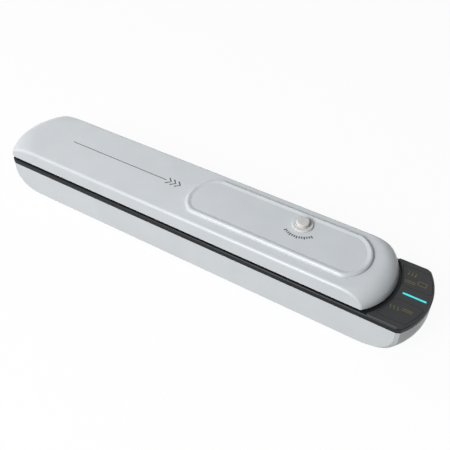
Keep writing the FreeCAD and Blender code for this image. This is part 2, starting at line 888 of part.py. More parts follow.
lid_knuckle_half = D.lid_knuckle_width / 2
deck_knuckle_start = lid_knuckle_half + D.knuckle_side_gap
deck_knuckle_end = deck_knuckle_start + D.deck_knuckle_width
knuckle_way = D.knuckle_radius + D.knuckle_clearance
deck_spans = knuckle_spans(deck_knuckle_start, deck_knuckle_end)
lid_spans = [(hinge_x * across - lid_knuckle_half, hinge_x * across + lid_knuckle_half)
             for across in SIDES]
for low, high in lid_spans:
    removed(deck, "lid_knuckle_way", "x", low - D.knuckle_side_gap, high + D.knuckle_side_gap,
            [circle(hinge_y, hinge_z, knuckle_way)])
for low, high in deck_spans:
    extrude(deck, "knuckle_base", "x", low, high, [rectangle(
        hinge_y - D.knuckle_radius, hinge_y + D.knuckle_radius, deck_under, hinge_z)])
    extrude(deck, "knuckle", "x", low, high, [circle(hinge_y, hinge_z, D.knuckle_radius)])
    removed(deck, "pin_bore", "x", low, high, [circle(hinge_y, hinge_z, D.pin_radius + D.pin_fit)])

# Hinge pins
pins = new_body("hinge_pins")
for across in SIDES:
    middle = hinge_x * across
    extrude(pins, "pin", "x", middle - deck_knuckle_end, middle + deck_knuckle_end,
            [circle(hinge_y, hinge_z, D.pin_radius)])

# Foam gasket in the deck's groove
deck_gasket = new_body("deck_gasket")
extrude(deck_gasket, "ring", "z", D.deck_top - D.gasket_seat, seal_plane - D.gasket_gap / 2,
        gasket_loop(ZERO))
fillet(deck_gasket, "soft_edge", D.gasket_round, at_level(seal_plane - D.gasket_gap / 2))

# Heater: a bar in the channel, the heating strip on it, its tape cover and its terminals
bar_low = D.deck_top - D.channel_depth
bar_high = D.deck_top - D.strip_thickness
heater_bar = new_body("heater_bar")
extrude(heater_bar, "bar", "z", bar_low, bar_high, [rectangle(
    heater_left, heater_right, channel_low + D.bar_fit, channel_high - D.bar_fit)])
removed(heater_bar, "terminal_holes", "z", bar_low, bar_high,
        circles(terminal_spots, D.terminal_radius + D.terminal_fit))
heating_strip = new_body("heating_strip")
extrude(heating_strip, "strip", "z", bar_high, D.deck_top, [rectangle(
    heater_left + D.strip_inset, heater_right - D.strip_inset,
    heater_y - D.strip_width / 2, heater_y + D.strip_width / 2)])
tape = new_body("ptfe_tape")
extrude(tape, "sheet", "z", D.deck_top, tape_top, [rounded(
    heater_left - D.tape_overhang, heater_right + D.tape_overhang,
    heater_y - D.tape_width / 2, heater_y + D.tape_width / 2, D.tape_round)])
terminals = new_body("heater_terminals")
extrude(terminals, "studs", "z", deck_under - D.terminal_drop, bar_high,
        circles(terminal_spots, D.terminal_radius))
extrude(terminals, "nuts", "z", deck_under - D.terminal_nut_height, deck_under,
        circles(terminal_spots, D.terminal_nut_radius))

# Case screws, which come up through the housing's bosses into the deck's
case_screws = new_body("case_screws")
extrude(case_screws, "shanks", "z", D.boss_shoulder, D.boss_joint + D.screw_bite,
        circles(boss_spots, D.screw_radius))
extrude(case_screws, "heads", "z", D.boss_shoulder - D.screw_head_height, D.boss_shoulder,
        circles(boss_spots, D.screw_head_radius))

# Lid shell: boat-nosed cover with a raised racetrack, valve hole, screw posts and hinge knuckles
lid = new_body("lid_shell")
tail_curl = lid_bottom + D.tail_wall
tail_radius = D.end_radius - D.tail_setback
boat_form(lid, lid_half, lid_bottom, lid_top, D.lid_curl_start,
          (-end_centre, tail_radius, tail_curl), (nose_centre, D.nose_radius, lid_bottom))
fillet(lid, "side_round", D.lid_round, side_edges(lid_half, lid_bottom))
lid_cavity = new_body("lid_cavity", exported=False)
boat_form(lid_cavity, lid_inner_half, lid_bottom, lid_top - D.lid_wall, D.lid_curl_start,
          (-end_centre, tail_radius - D.lid_wall, tail_curl),
          (nose_centre, D.nose_radius - D.lid_wall, lid_bottom))
hollow(lid, lid_cavity)


def plateau_plan(shrink):
    """The racetrack's plan, drawn in by a distance all round."""
    radius = D.plateau_radius - shrink
    half = plateau_half - shrink
    ends = [RoundEnd(x, radius, side, D.plateau_corner) for x, side in ((plateau_start, -1), (nose_centre, 1))]
    return band(D.plateau_shift - half, D.plateau_shift + half, *ends)


extrude(lid, "plateau", "z", lid_top, plateau_top, [plateau_plan(ZERO)])
fillet(lid, "plateau_edge", D.plateau_round, at_level(plateau_top))
# The rim falls from its crest to the sunk panel as one shallow slope all round
slope_plans = []
for name, level, shrink in (("crest", plateau_top, D.plateau_round + D.plateau_crest),
                            ("sunk", recess_top, D.plateau_rim)):
    sketch = new_sketch(lid, name + "_sketch", PLANES["z"], level)
    plateau_plan(shrink)(sketch)
    slope_plans.append(sketch)
recess = lid.newObject("PartDesign::SubtractiveLoft", "panel_recess")
recess.Profile = slope_plans[0]
recess.Sections = slope_plans[1:]
recess.Ruled = True
cuts.append((lid, recess))
removed(lid, "plateau_hollow", "z", lid_top - D.lid_wall, skin_under, [plateau_plan(D.plateau_rim)])
post_spots = [(x, trough_middle) for x in liner_screws_x]
extrude(lid, "liner_posts", "z", liner_top, lid_top, circles(post_spots, D.post_radius))
removed(lid, "post_pilots", "z", liner_top, liner_top + D.liner_screw_bite,
        circles(post_spots, D.screw_radius + D.screw_fit))
removed(lid, "valve_hole", "z", skin_under, recess_top,
        [circle(valve_x, valve_y, D.seat_radius + D.seat_fit)])
# The bevel under the back edge lets the lid swing up past the deck
bevel_corner = point(lid_half, lid_bottom)
bevel_up = point(lid_half, lid_bottom + D.lid_back_bevel)
bevel_in = point(lid_half - D.lid_back_bevel, lid_bottom)
bevel_edges = [
    Part.LineSegment(bevel_corner, bevel_up),
    Part.LineSegment(bevel_up, bevel_in),
    Part.LineSegment(bevel_in, bevel_corner),
]
removed(lid, "back_bevel", "x", -D.body_length / 2, D.body_length / 2, [outline(bevel_edges)])
for low, high in deck_spans:
    removed(lid, "deck_knuckle_way", "x", low - D.knuckle_side_gap, high + D.knuckle_side_gap,
            [circle(hinge_y, hinge_z, knuckle_way)])
for low, high in lid_spans:
    extrude(lid, "knuckle_web", "x", low, high, [rectangle(
        hinge_y - D.knuckle_radius, hinge_y + D.knuckle_web_back, hinge_z, liner_top)])
    extrude(lid, "knuckle", "x", low, high, [circle(hinge_y, hinge_z, D.knuckle_radius)])
    removed(lid, "pin_bore", "x", low, high, [circle(hinge_y, hinge_z, D.pin_radius + D.pin_running)])

# Valve seat: a soft ring in the lid, and the release valve that slides through it
seat = new_body("valve_seat")
extrude(seat, "bush", "z", skin_under, recess_top, [circle(valve_x, valve_y, D.seat_radius)])
extrude(seat, "flange", "z", recess_top, recess_top + D.seat_flange_height,
        [circle(valve_x, valve_y, D.seat_flange_radius)])
fillet(seat, "flange_edge", D.seat_round, at_level(recess_top + D.seat_flange_height))
removed(seat, "guide", "z", skin_under, recess_top + D.seat_flange_height,
        [circle(valve_x, valve_y, D.valve_radius + D.valve_slide)])
valve = new_body("release_valve")
lip_top = skin_under - D.valve_seal
extrude(valve, "lip", "z", lip_top - D.valve_lip_height, lip_top,
        [circle(valve_x, valve_y, D.valve_lip_radius)])
extrude(valve, "stem", "z", lip_top, recess_top + D.seat_flange_height,
        [circle(valve_x, valve_y, D.valve_radius)])
crown = extrude(valve, "crown", "z", recess_top + D.seat_flange_height, recess_top + D.valve_height,
                [circle(valve_x, valve_y, D.valve_radius)])
bind(crown, "TaperAngle", -D.valve_taper)
fillet(valve, "crown_edge", D.valve_round, at_level(recess_top + D.valve_height))

# Lid liner: the inner plate that carries the upper gasket and the pressure strip
liner = new_body("lid_liner")
liner_half = lid_inner_half - D.liner_side_gap


def liner_radius(rim_radius, curl):
    """Radius of the lid's cavity at the liner's top, where its curl is narrowest, less the gap."""
    curl_rise = max(0.0, float(liner_top - curl) / float(lid_top - D.lid_wall - curl))
    start = float(lid_inner_half + D.lid_curl_start)
    reach = float(rim_radius - D.lid_wall) - start
    return start + reach * math.sqrt(1 - curl_rise ** 2) - float(D.liner_side_gap)


liner_plan = band(
    -liner_half, liner_half,
    RoundEnd(-end_centre, liner_radius(tail_radius, tail_curl), -1, D.liner_corner),
    RoundEnd(nose_centre, liner_radius(D.nose_radius, lid_bottom), 1, D.liner_corner))
extrude(liner, "plate", "z", liner_bottom, liner_top, [liner_plan])
removed(liner, "gasket_groove", "z", liner_bottom, liner_bottom + D.gasket_seat,
        gasket_loop(D.gasket_fit))
pad_half = D.strip_pad_width / 2
pad_seat_half = pad_half + D.strip_pad_fit
removed(liner, "strip_groove", "z", liner_bottom, liner_bottom + D.strip_pad_seat, [rectangle(
    heater_left - D.strip_pad_fit, heater_right + D.strip_pad_fit,
    heater_y - pad_seat_half, heater_y + pad_seat_half)])
vents = []
vent_first = left_end + D.vent_from_left
vent_run = trough_right - D.vent_from_trough - vent_first
vent_count = math.floor(float(vent_run) / float(D.vent_pitch) + TOLERANCE) + 1
for step in range(vent_count):
    vent_x = vent_first + D.vent_pitch * step
    if all(abs(float(vent_x - x)) > float(D.vent_spacing) for x in liner_screws_x):
        vents.append(slot(vent_x - D.vent_length / 2, vent_x + D.vent_length / 2,
                          trough_middle, D.vent_width))
removed(liner, "vents", "z", liner_bottom, liner_top, vents)
removed(liner, "screw_holes", "z", liner_bottom, liner_top,
        circles(post_spots, D.screw_radius + D.screw_way))
removed(liner, "head_wells", "z", liner_bottom, liner_bottom + D.screw_head_height,
        circles(post_spots, D.screw_head_radius + D.screw_way))
notch_front = hinge_y - D.knuckle_radius - D.liner_notch_gap
for across in SIDES:
    reach = deck_knuckle_end + D.liner_notch_gap
    removed(liner, "hinge_notch", "z", liner_bottom, liner_top, [rectangle(
        hinge_x * across - reach, hinge_x * across + reach, notch_front, half_width)])

lid_gasket = new_body("lid_gasket")
extrude(lid_gasket, "ring", "z", seal_plane + D.gasket_gap / 2, liner_bottom + D.gasket_seat,
        gasket_loop(ZERO))
fillet(lid_gasket, "soft_edge", D.gasket_round, at_level(seal_plane + D.gasket_gap / 2))

pressure_strip = new_body("pressure_strip")
extrude(pressure_strip, "strip", "z", tape_top + D.strip_pad_gap, liner_bottom + D.strip_pad_seat, [rectangle(
    heater_left, heater_right, heater_y - pad_half, heater_y + pad_half)])

liner_screws = new_body("liner_screws")
liner_shoulder = liner_bottom + D.screw_head_height
extrude(liner_screws, "shanks", "z", liner_shoulder, liner_top + D.liner_screw_bite,
        circles(post_spots, D.screw_radius))
extrude(liner_screws, "heads", "z", liner_bottom, liner_shoulder,
        circles(post_spots, D.screw_head_radius))


def crescent(shrink):
    """The control panel's plan, drawn in from the housing's by a distance."""
    half = half_width - shrink
    inner_edge = RoundEnd(nose_centre, panel_inner + shrink, 1, D.panel_corner, hollow=True)
    return band(-half, half, inner_edge, hull_end(shrink, 1))


def button_plan(side, grow):
    """One button's plan, moved out by a distance all round."""
    near = (D.button_near - grow) * side
    far = (button_far + grow) * side
    low, high = sorted((near, far), key=float)
    corner = D.button_corner + grow
    inner_radius = panel_inner + D.button_inner_margin - grow
    outer_radius = D.end_radius - D.button_outer_margin + grow
    return band(low, high, RoundEnd(nose_centre, inner_radius, 1, corner, hollow=True),
                RoundEnd(end_centre, outer_radius, 1, corner))


def light_plan(grow):
    """The light bar's plan, moved out by a distance all round."""
    return slot(light_start - grow, light_start + D.light_length + grow, ZERO, D.light_width + grow * 2)


# Openings in the deck under the control panel
flange_room = D.button_flange + D.window_clearance
removed(deck, "button_windows", "z", deck_under, D.deck_top,
        [button_plan(side, flange_room) for side in SIDES])
removed(deck, "light_window", "z", deck_under, D.deck_top,
        [light_plan(D.light_flange + D.light_fit)])
removed(deck, "post_windows", "z", deck_under, D.deck_top,
        circles(panel_posts, D.panel_post_radius + D.panel_post_way))

# Control panel: a crescent plate with posts for its board
panel = new_body("control_panel")
extrude(panel, "plate", "z", D.deck_top, panel_top, [crescent(D.panel_inset)])
chamfer(panel, "panel_edge", D.panel_bevel, at_level(panel_top))
extrude(panel, "posts", "z", control_board_top, D.deck_top, circles(panel_posts, D.panel_post_radius))
removed(panel, "post_pilots", "z", control_board_top, control_board_top + D.board_screw_bite,
        circles(panel_posts, D.board_screw_radius + D.screw_fit))
removed(panel, "button_holes", "z", D.deck_top, panel_top,
        [button_plan(side, D.button_gap) for side in SIDES])
removed(panel, "light_slot", "z", D.deck_top, panel_top, [light_plan(D.light_fit)])

# Buttons: flush caps held by a flange under the panel, each over a tact switch
switch_cap_top = control_board_top + D.switch_height + D.switch_spare
stem_bottom = switch_cap_top + D.button_travel + D.switch_spare
flange_top = D.deck_top - D.button_seat
flange_bottom = flange_top - D.button_flange_height
for label, side in (("seal_button", -1), ("vacuum_button", 1)):
    button = new_body(label)
    extrude(button, "flange", "z", flange_bottom, flange_top, [button_plan(side, D.button_flange)])
    extrude(button, "cap", "z", flange_top, panel_top, [button_plan(side, ZERO)])
    extrude(button, "stem", "z", stem_bottom, flange_bottom,
            [circle(switch_x, switch_y * side, D.button_stem_radius)])

# Light bar: a diffuser in the panel's slot, with a light guide down to the board
light_bar = new_body("light_bar")
light_flange_bottom = D.deck_top - D.light_flange_height
extrude(light_bar, "diffuser", "z", D.deck_top, panel_top, [light_plan(ZERO)])
extrude(light_bar, "flange", "z", light_flange_bottom, D.deck_top, [light_plan(D.light_flange)])
extrude(light_bar, "guide", "z", light_flange_bottom - D.light_drop, light_flange_bottom, [light_plan(ZERO)])

# Control board with its switches and lamps
control_board = new_body("control_board")
extrude(control_board, "board", "z", control_board_under, control_board_top, [band(
    -control_board_half, control_board_half,
    RoundEnd(nose_centre, panel_inner, 1, D.control_board_corner, hollow=True),
    RoundEnd(end_centre, inner_radius - D.control_board_gap, 1, D.control_board_corner))])
removed(control_board, "screw_holes", "z", control_board_under, control_board_top,
        circles(panel_posts, D.board_screw_radius + D.screw_fit))
switches = new_body("tact_switches")
half_switch = D.switch_side / 2
switch_plans = [rectangle(switch_x - half_switch, switch_x + half_switch,
                          switch_y * side - half_switch, switch_y * side + half_switch)
                for side in SIDES]
switch_spots = [(switch_x, switch_y * side) for side in SIDES]
extrude(switches, "cases", "z", control_board_top, control_board_top + D.switch_height, switch_plans)
extrude(switches, "caps", "z", control_board_top + D.switch_height, switch_cap_top,
        circles(switch_spots, D.switch_cap_radius))
lamps = new_body("indicator_leds")
lamp_plans = []
for step in range(LAMP_COUNT):
    lamp_x = led_first + D.led_pitch * step
    lamp_plans.append(rectangle(lamp_x - D.led_length / 2, lamp_x + D.led_length / 2,
                                -D.led_width / 2, D.led_width / 2))
extrude(lamps, "lamps", "z", control_board_top, control_board_top + D.led_height, lamp_plans)

# Small screws of both boards
board_screws = new_body("board_screws")
extrude(board_screws, "panel_shanks", "z", control_board_under, control_board_top + D.board_screw_bite,
        circles(panel_posts, D.board_screw_radius))
extrude(board_screws, "panel_heads", "z", control_board_under - D.board_screw_head_height,
        control_board_under, circles(panel_posts, D.board_screw_head))
extrude(board_screws, "power_shanks", "z", board_under - D.board_screw_bite, board_top,
        circles(board_spots, D.board_screw_radius))
extrude(board_screws, "power_heads", "z", board_top, board_top + D.board_screw_head_height,
        circles(board_spots, D.board_screw_head))

# Pump motor in its bracket, with its turning shaft and eccentric
bracket = new_body("pump_bracket")
bracket_low = motor_start + D.bracket_start
bracket_high = bracket_low + D.bracket_length
extrude(bracket, "saddle", "x", bracket_low, bracket_high, [rectangle(
    -D.bracket_half_width, D.bracket_half_width, floor_top, floor_top + D.bracket_height)])
removed(bracket, "bed", "x", bracket_low, bracket_high,
        [circle(ZERO, pump_z, D.motor_radius + D.bracket_clearance)])
motor = new_body("pump_motor")
extrude(motor, "can", "x", motor_start, motor_end, [circle(ZERO, pump_z, D.motor_radius)])
fillet(motor, "can_edges", D.motor_round, at_level(motor_start, "x"))
extrude(motor, "rear_boss", "x", motor_start - D.motor_boss_length, motor_start,
        [circle(ZERO, pump_z, D.motor_boss_radius)])
removed(motor, "shaft_bore", "x", motor_end - D.shaft_depth - D.shaft_running, motor_end,
        [circle(ZERO, pump_z, D.shaft_radius + D.shaft_running)])
shaft = new_body("motor_shaft")
shaft_tip = motor_end + D.shaft_reach
extrude(shaft, "shaft", "x", motor_end - D.shaft_depth, shaft_tip, [circle(ZERO, pump_z, D.shaft_radius)])
eccentric = new_body("pump_eccentric")
eccentric_low = motor_end + D.eccentric_start
eccentric_high = eccentric_low + D.eccentric_length
extrude(eccentric, "cam", "x", eccentric_low, eccentric_high,
        [circle(ZERO, pump_z + D.eccentric_throw, D.eccentric_radius)])
removed(eccentric, "bore", "x", eccentric_low, eccentric_high,
        [circle(ZERO, pump_z, D.shaft_radius + D.eccentric_fit)])

# Pump: crank housing, diaphragm and valve cover with its hose nipple
pump = new_body("pump_housing")
pump_sides = rectangle(motor_end, pump_end, -D.pump_half_width, D.pump_half_width)
extrude(pump, "block", "z", pump_under, diaphragm_under, [pump_sides])
removed(pump, "crank_room", "z", pump_under + D.pump_floor, diaphragm_under, [rounded(
    motor_end + D.pump_wall, pump_end - D.pump_wall,
    D.pump_wall - D.pump_half_width, D.pump_half_width - D.pump_wall, D.pump_wall)])
removed(pump, "shaft_way", "x", motor_end, motor_end + D.pump_wall,
        [circle(ZERO, pump_z, D.shaft_radius + D.shaft_window)])
extrude(pump, "feet", "z", floor_top, pump_under, [
    rectangle(motor_end, pump_end, -D.pump_half_width, D.pump_wall - D.pump_half_width),
    rectangle(motor_end, pump_end, D.pump_half_width - D.pump_wall, D.pump_half_width)])
diaphragm = new_body("pump_diaphragm")
extrude(diaphragm, "sheet", "z", diaphragm_under, diaphragm_top, [pump_sides])
pump_middle = motor_end + D.pump_length / 2
extrude(diaphragm, "stub", "z", diaphragm_under - D.diaphragm_stub, diaphragm_under,
        [circle(pump_middle, ZERO, D.diaphragm_stub_radius)])
cover = new_body("pump_cover")
extrude(cover, "head", "z", diaphragm_top, cover_top, [pump_sides])
fillet(cover, "head_edges", D.cover_round, lambda edge: edge.BoundBox.ZLength > float(cover_height) / 2)
extrude(cover, "inlet_nipple", "x", motor_end - D.nipple_length, motor_end,
        [circle(hose_y, hose_z, nipple_radius)])
removed(cover, "inlet_bore", "x", motor_end - D.nipple_length, pump_middle,
        [circle(hose_y, hose_z, D.nipple_bore)])

# Vacuum hose from the trough to the pump cover
hose = new_body("vacuum_hose")
extrude(hose, "tube", "x", trough_end, motor_end, [circle(hose_y, hose_z, D.hose_radius)])
removed(hose, "bore", "x", trough_end, motor_end, [circle(hose_y, hose_z, D.hose_radius - D.hose_wall)])

# Power board with transformer, capacitors and relay
power_board = new_body("power_board")
extrude(power_board, "board", "z", board_under, board_top,
        [rectangle(board_left, board_right, board_front, board_back)])
removed(power_board, "screw_holes", "z", board_under, board_top,
        circles(board_spots, D.board_screw_radius + D.screw_fit))
transformer = new_body("transformer")
core_left = transformer_x - D.transformer_length / 2
core_right = transformer_x + D.transformer_length / 2
core_front = board_middle - D.transformer_width / 2
core_back = board_middle + D.transformer_width / 2
core_top = board_top + D.transformer_height
extrude(transformer, "core", "z", board_top, core_top,
        [rectangle(core_left, core_right, core_front, core_back)])
removed(transformer, "windows", "z", board_top, core_top, [
    rectangle(core_left + D.transformer_window, core_right - D.transformer_window, core_front,
              core_front + D.coil_overhang),
    rectangle(core_left + D.transformer_window, core_right - D.transformer_window,
              core_back - D.coil_overhang, core_back)])
coil_left = core_left + D.transformer_window + D.coil_overhang / 2
coil_right = core_right - D.transformer_window - D.coil_overhang / 2
extrude(transformer, "coil", "z", board_top + D.coil_overhang, core_top - D.coil_overhang, [rounded(
    coil_left, coil_right, core_front - D.coil_overhang, core_back + D.coil_overhang, D.coil_overhang)])
capacitors = new_body("capacitors")
capacitor_spots = [(capacitor_first + D.capacitor_pitch * step, capacitor_y)
                   for step in range(CAPACITOR_COUNT)]
capacitor_top = board_top + D.capacitor_height
extrude(capacitors, "cans", "z", board_top, capacitor_top, circles(capacitor_spots, D.capacitor_radius))
fillet(capacitors, "can_edges", D.capacitor_round, at_level(capacitor_top))
relay = new_body("relay")
relay_top = board_top + D.relay_height
extrude(relay, "case", "z", board_top, relay_top, [rectangle(
    relay_x - D.relay_length / 2, relay_x + D.relay_length / 2,
    relay_y - D.relay_width / 2, relay_y + D.relay_width / 2)])
fillet(relay, "case_edges", D.relay_round, at_level(relay_top))

# Two-pin mains inlet in the back wall, with a figure-of-eight socket
inlet = new_body("power_inlet")
inlet_back = half_width - D.inlet_depth
extrude(inlet, "block", "y", inlet_back, half_width,
        [rounded(inlet_low, inlet_high, inlet_bottom, inlet_top, D.inlet_round)])
extrude(inlet, "flange", "y", inner_half - D.inlet_flange_thickness, inner_half, [rounded(
    inlet_low - D.inlet_flange, inlet_high + D.inlet_flange,
    inlet_bottom - D.inlet_flange, inlet_top + D.inlet_flange, D.inlet_round)])
pin_spots = [(inlet_x + D.pin_pitch / 2 * side, inlet_z) for side in SIDES]
socket_floor = half_width - D.socket_depth
socket_half = D.pin_pitch / 2 + D.socket_radius
removed(inlet, "socket", "y", socket_floor, half_width, [slot(
    inlet_x - socket_half, inlet_x + socket_half, inlet_z, D.socket_radius * 2)])
removed(inlet, "pin_holes", "y", inlet_back, socket_floor,
        circles(pin_spots, D.inlet_pin_radius + D.inlet_pin_fit))
inlet_pins = new_body("inlet_pins")
extrude(inlet_pins, "pins", "y", inlet_back - D.inlet_pin_tail, socket_floor + D.inlet_pin_length,
        circles(pin_spots, D.inlet_pin_radius))
fillet(inlet_pins, "pin_tips", D.inlet_pin_round, at_level(socket_floor + D.inlet_pin_length, "y"))

# Stop on any failed feature or bad shape, then write one file for each sub-part
doc.recompute()
for item in doc.Objects:
    if "Invalid" in item.State or "Error" in item.State:
        raise RuntimeError(f"{item.Label} failed to build")
for body, feature in cuts:
    if feature.Shape.Volume >= feature.BaseFeature.Shape.Volume:
        raise RuntimeError(f"{body.Label}: {feature.Label} cuts nothing")
for body in sub_parts:
    if body.Shape.isNull() or not body.Shape.isValid():
        raise RuntimeError(f"{body.Label} has a bad shape")
os.makedirs("parts", exist_ok=True)
for body in sub_parts:
    body.Shape.exportStep(f"parts/{body.Label}.step")
    print(body.Label, len(body.Shape.Solids), round(body.Shape.Volume, 1))
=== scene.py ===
import json
import math

import bmesh
import bpy
from mathutils import Euler, Matrix, Vector

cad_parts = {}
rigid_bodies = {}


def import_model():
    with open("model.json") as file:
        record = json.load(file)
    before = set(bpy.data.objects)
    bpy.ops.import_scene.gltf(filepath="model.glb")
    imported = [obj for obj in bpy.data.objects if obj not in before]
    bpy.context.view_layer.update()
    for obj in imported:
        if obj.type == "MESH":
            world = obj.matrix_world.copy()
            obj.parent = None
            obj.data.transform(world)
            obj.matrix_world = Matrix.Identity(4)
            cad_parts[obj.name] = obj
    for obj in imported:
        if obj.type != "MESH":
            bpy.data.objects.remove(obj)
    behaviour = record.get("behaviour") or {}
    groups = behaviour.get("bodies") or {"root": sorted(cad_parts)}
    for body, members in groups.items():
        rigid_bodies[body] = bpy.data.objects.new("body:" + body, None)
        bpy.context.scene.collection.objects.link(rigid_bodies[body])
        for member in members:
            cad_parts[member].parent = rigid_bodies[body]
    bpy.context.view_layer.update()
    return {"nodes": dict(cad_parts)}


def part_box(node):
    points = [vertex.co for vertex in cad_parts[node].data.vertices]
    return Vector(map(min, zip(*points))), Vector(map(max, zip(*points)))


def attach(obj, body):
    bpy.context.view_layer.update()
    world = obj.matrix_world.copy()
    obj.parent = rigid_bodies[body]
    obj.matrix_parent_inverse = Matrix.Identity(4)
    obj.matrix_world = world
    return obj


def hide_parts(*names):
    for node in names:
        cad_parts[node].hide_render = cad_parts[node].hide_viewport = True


for leftover in list(bpy.data.objects):
    bpy.data.objects.remove(leftover)
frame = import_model()
nodes = frame["nodes"]
scene = bpy.context.scene
scene.view_settings.view_transform = "Standard"

# Camera: stands to the front right of the sealer and looks down on it, with the lens that gives
# the photograph's perspective on a square frame.
camera = bpy.data.objects.new("camera", bpy.data.cameras.new("camera"))
camera.data.sensor_width = 36.0
camera.data.lens = 51.97
camera_turn = math.radians(31.302)
camera_tilt = math.radians(42.677)
camera_roll = math.radians(0.703)
camera.location = (0.20892, -0.31068, 0.35919)
camera_aim = Euler((math.pi / 2 - camera_tilt, 0.0, camera_turn)).to_matrix()
camera.rotation_euler = (camera_aim @ Matrix.Rotation(camera_roll, 3, "Z")).to_euler()
scene.collection.objects.link(camera)
scene.camera = camera

# Floor and studio: a pale sheet of board, which throws more light back behind the sealer than in
# front, in a room that darkens to the right, with a soft box to the front left, a weaker one in
# front and a weak one high at the back left.
white = (1.0, 1.0, 1.0, 1.0)
room_tint = (0.90, 0.955, 1.0, 1.0)
room_dim, room_bright = 0.04, 0.54
dim_edge = -0.4
floor_half = 4.0
floor_grey = (0.9, 0.9, 0.9, 1.0)
front_bounce, back_bounce = 0.13, 0.8
front_edge, back_edge = 0.0, 0.08
floor_glow = 0.94


def add_node(tree, kind, inputs=(), **settings):
    """A node with its settings, and with some inputs linked or set by name or number."""
    node = tree.nodes.new(kind)
    for key, value in settings.items():
        setattr(node, key, value)
    for key, value in dict(inputs).items():
        if isinstance(value, bpy.types.NodeSocket):
            tree.links.new(value, node.inputs[key])
        else:
            node.inputs[key].default_value = value
    return node


def new_material(name):
    material = bpy.data.materials.new(name)
    material.use_nodes = True
    tree = material.node_tree
    return material, tree, tree.nodes["Principled BSDF"]


def seen_directly(tree):
    """1 for rays that show the background: from the camera, in a gloss or through clear material."""
    rays = add_node(tree, "ShaderNodeLightPath").outputs
    seen = rays["Is Camera Ray"]
    for other_ray in ("Is Glossy Ray", "Is Transmission Ray"):
        either = {0: seen, 1: rays[other_ray]}
        seen = add_node(tree, "ShaderNodeMath", either, operation="MAXIMUM").outputs[0]
    return seen


def mix_shaders(tree, factor, first, second):
    """Two shader nodes mixed: only the first shows at a factor of 0, only the second at 1."""
    inputs = {0: factor, 1: first.outputs[0], 2: second.outputs[0]}
    return add_node(tree, "ShaderNodeMixShader", inputs)


world = bpy.data.worlds.new("studio")
scene.world = world
world.use_nodes = True
sky = world.node_tree
sky.nodes.clear()
direction = add_node(sky, "ShaderNodeTexCoord").outputs["Generated"]
to_left = {0: direction, 1: (-1.0, 0.0, 0.0)}
leftward = add_node(sky, "ShaderNodeVectorMath", to_left, operation="DOT_PRODUCT").outputs["Value"]
shade = {"Value": leftward, "From Min": dim_edge, "To Min": room_dim, "To Max": room_bright}
room_level = add_node(sky, "ShaderNodeMapRange", shade).outputs[0]
room = add_node(sky, "ShaderNodeBackground", {"Color": room_tint, "Strength": room_level})
white_room = add_node(sky, "ShaderNodeBackground", {"Color": white, "Strength": 1.0})
sky_mix = mix_shaders(sky, seen_directly(sky), room, white_room)
add_node(sky, "ShaderNodeOutputWorld", {"Surface": sky_mix.outputs[0]})

floor_corners = [(-floor_half, -floor_half, 0.0), (floor_half, -floor_half, 0.0),
                 (floor_half, floor_half, 0.0), (-floor_half, floor_half, 0.0)]
floor_mesh = bpy.data.meshes.new("floor")
floor_mesh.from_pydata(floor_corners, [], [(0, 1, 2, 3)])
floor = bpy.data.objects.new("floor", floor_mesh)
scene.collection.objects.link(floor)
floor_board, floor_tree, plain_shader = new_material("floor_board")
floor_tree.nodes.remove(plain_shader)
floor_place = add_node(floor_tree, "ShaderNodeTexCoord").outputs["Object"]
backward = add_node(floor_tree, "ShaderNodeSeparateXYZ", {"Vector": floor_place}).outputs["Y"]
lift = {"Value": backward, "From Min": front_edge, "From Max": back_edge,
        "To Min": front_bounce, "To Max": back_bounce}
bounce_level = add_node(floor_tree, "ShaderNodeMapRange", lift).outputs[0]
bounce = add_node(floor_tree, "ShaderNodeBsdfDiffuse", {"Color": bounce_level})
shown = add_node(floor_tree, "ShaderNodeBsdfDiffuse", {"Color": floor_grey})
glow = add_node(floor_tree, "ShaderNodeEmission", {"Color": white, "Strength": 1.0})
shown_mix = mix_shaders(floor_tree, floor_glow, shown, glow)
floor_mix = mix_shaders(floor_tree, seen_directly(floor_tree), bounce, shown_mix)
floor_tree.links.new(floor_mix.outputs[0], floor_tree.nodes["Material Output"].inputs["Surface"])
floor_mesh.materials.append(floor_board)


def soft_box(name, spot, side, watts):
    """A square soft lamp that faces the middle of the sealer's foot."""
    lamp = bpy.data.lights.new(name, "AREA")
    lamp.shape = "SQUARE"
    lamp.size = side
    lamp.energy = watts
    box = bpy.data.objects.new(name, lamp)
    box.location = spot
    box.rotation_euler = (-Vector(spot)).to_track_quat("-Z", "Y").to_euler()
    scene.collection.objects.link(box)


soft_box("key_box", spot=(-0.38, -1.20, 1.05), side=0.6, watts=19.6)
soft_box("fill_box", spot=(0.10, -1.45, 0.80), side=0.7, watts=9.0)
soft_box("back_box", spot=(-0.80, 0.50, 1.15), side=1.0, watts=2.5)

# Lower housing: the tub that everything stands in, moulded in light grey ABS with a satin
# spark-eroded skin; its ends curl up under the deck.


def object_place(tree):
    return add_node(tree, "ShaderNodeTexCoord").outputs["Object"]


def noise(tree, place, scale, detail):
    inputs = {"Vector": place, "Scale": scale, "Detail": detail}
    return add_node(tree, "ShaderNodeTexNoise", inputs).outputs["Fac"]


def tinted(tree, shader, pattern, colour, dark, light, ramp=(0.0, 1.0)):
    """Colours a surface by a pattern, from a darker to a lighter share of one colour."""
    tint = add_node(tree, "ShaderNodeValToRGB", {"Fac": pattern})
    for stop, position, share in zip(tint.color_ramp.elements, ramp, (dark, light)):
        stop.position = position
        stop.color = [part * share for part in colour] + [1.0]
    tree.links.new(tint.outputs["Color"], shader.inputs["Base Color"])
    return tint.outputs["Color"]


def glossed(tree, shader, pattern, roughness, spread):
    """Lets the roughness wander with a pattern, by the spread to both sides."""
    wander = {"Value": pattern, "To Min": roughness - spread, "To Max": roughness + spread}
    uneven = add_node(tree, "ShaderNodeMapRange", wander).outputs[0]
    tree.links.new(uneven, shader.inputs["Roughness"])


